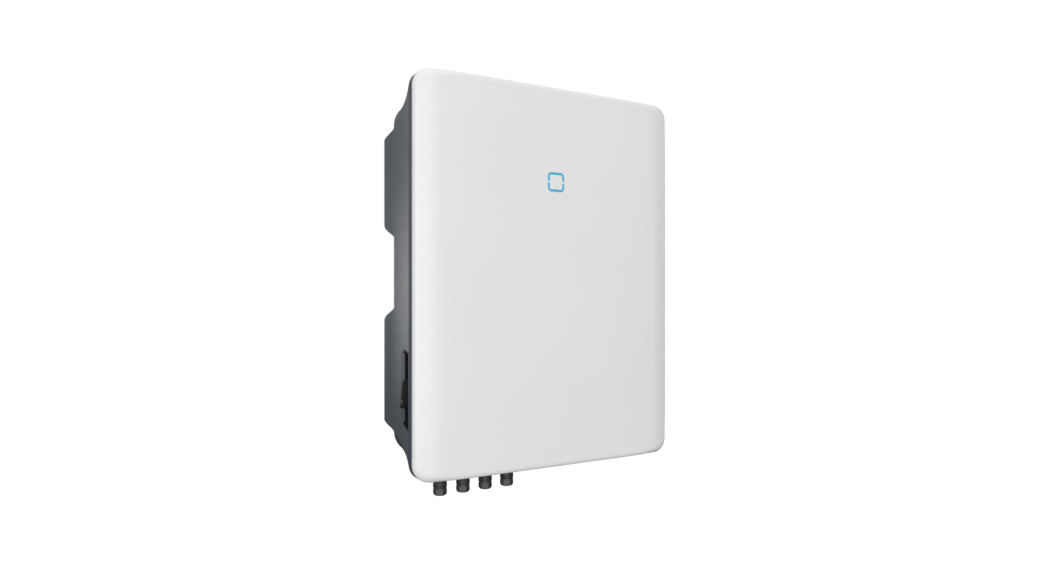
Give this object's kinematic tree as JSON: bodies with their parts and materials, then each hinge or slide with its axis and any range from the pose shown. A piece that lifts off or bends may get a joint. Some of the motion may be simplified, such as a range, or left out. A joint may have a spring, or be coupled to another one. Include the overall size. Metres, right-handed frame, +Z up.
{
  "type": "string inverter",
  "caption": "Wall-hung solar string inverter: white front cover, dark cast housing with rear shoulders and fins, DC switch, capped sockets, wall bracket.",
  "frame": {"origin": "middle of the bracket face that lies against the wall", "axes": "+X to the right seen from the front, +Y back into the wall, +Z up"},
  "size_m": [0.372, 0.1951, 0.5103],
  "materials": {
    "cover_white": "satin",
    "housing_grey": "matte",
    "cast_fins": "matte",
    "zinc_steel": "satin",
    "screw_steel": "satin",
    "seal_rubber": "matte",
    "black_plastic": "satin",
    "grey_plastic": "matte",
    "light_guide": "gloss",
    "circuit_board": "satin",
    "ribbon": "satin",
    "capacitor_sleeve": "gloss",
    "copper_winding": "satin",
    "iron_core": "matte"
  },
  "bodies": {
    "root": {"front_cover": "cover_white", "rear_housing": "housing_grey", "heat_sink": "cast_fins", "wall_bracket": "zinc_steel", "lock_screw_left": "screw_steel", "lock_screw_right": "screw_steel", "cover_screw_top_left": "screw_steel", "cover_screw_top_right": "screw_steel", "cover_screw_bottom_left": "screw_steel", "cover_screw_bottom_right": "screw_steel", "earth_screw": "screw_steel", "cover_gasket": "seal_rubber", "heat_sink_seal": "seal_rubber", "dc_switch_seal": "seal_rubber", "dc_switch_bezel": "black_plastic", "pv_socket_1": "black_plastic", "pv_socket_2": "black_plastic", "pv_socket_3": "black_plastic", "pv_socket_4": "black_plastic", "pv_nut_1": "black_plastic", "pv_nut_2": "black_plastic", "pv_nut_3": "black_plastic", "pv_nut_4": "black_plastic", "ac_socket": "black_plastic", "ac_socket_nut": "black_plastic", "com_socket": "black_plastic", "dongle_socket": "black_plastic", "boost_module": "black_plastic", "inverter_module": "black_plastic", "grid_relay_1": "black_plastic", "grid_relay_2": "black_plastic", "grid_relay_3": "black_plastic", "breather_vent": "grey_plastic", "dc_switch_body": "grey_plastic", "led_guide_upper": "light_guide", "led_guide_lower": "light_guide", "power_board": "circuit_board", "control_board": "circuit_board", "led_board": "circuit_board", "light_ribbon": "ribbon", "dc_link_capacitor_1": "capacitor_sleeve", "dc_link_capacitor_2": "capacitor_sleeve", "dc_link_capacitor_3": "capacitor_sleeve", "dc_link_capacitor_4": "capacitor_sleeve", "boost_inductor_1": "copper_winding", "boost_inductor_2": "copper_winding", "dc_emi_choke": "copper_winding", "ac_emi_choke": "copper_winding", "ac_filter_inductor_1": "iron_core", "ac_filter_inductor_2": "iron_core", "ac_filter_inductor_3": "iron_core"},
    "dc_switch": {"dc_switch_knob": "black_plastic", "dc_switch_shaft": "zinc_steel"},
    "pv_cap_1": {"pv_cap_1": "grey_plastic"},
    "pv_cap_2": {"pv_cap_2": "grey_plastic"},
    "pv_cap_3": {"pv_cap_3": "grey_plastic"},
    "pv_cap_4": {"pv_cap_4": "grey_plastic"},
    "ac_cap": {"ac_socket_cap": "grey_plastic"},
    "com_cap": {"com_cap": "grey_plastic"},
    "dongle_cap": {"dongle_cap": "grey_plastic"}
  },
  "joints": [
    {"name": "dc_switch_turn", "type": "hinge", "parent": "root", "child": "dc_switch", "pos_m": [-0.17, -0.142, -0.245], "axis": [1, 0, 0], "range_deg": [0, 90]},
    {"name": "pv_cap_1_pull", "type": "slide", "parent": "root", "child": "pv_cap_1", "axis": [0, 0, -1], "range_m": [0, 0.03]},
    {"name": "pv_cap_2_pull", "type": "slide", "parent": "root", "child": "pv_cap_2", "axis": [0, 0, -1], "range_m": [0, 0.03]},
    {"name": "pv_cap_3_pull", "type": "slide", "parent": "root", "child": "pv_cap_3", "axis": [0, 0, -1], "range_m": [0, 0.03]},
    {"name": "pv_cap_4_pull", "type": "slide", "parent": "root", "child": "pv_cap_4", "axis": [0, 0, -1], "range_m": [0, 0.03]},
    {"name": "ac_cap_turn", "type": "hinge", "parent": "root", "child": "ac_cap", "pos_m": [0.092, -0.117, -0.355], "axis": [0, 0, 1], "range_deg": [0, 60]},
    {"name": "com_cap_turn", "type": "hinge", "parent": "root", "child": "com_cap", "pos_m": [0.038, -0.117, -0.35], "axis": [0, 0, 1], "range_deg": [0, 720]},
    {"name": "dongle_cap_turn", "type": "hinge", "parent": "root", "child": "dongle_cap", "pos_m": [0.003, -0.117, -0.35], "axis": [0, 0, 1], "range_deg": [0, 720]}
  ]
}
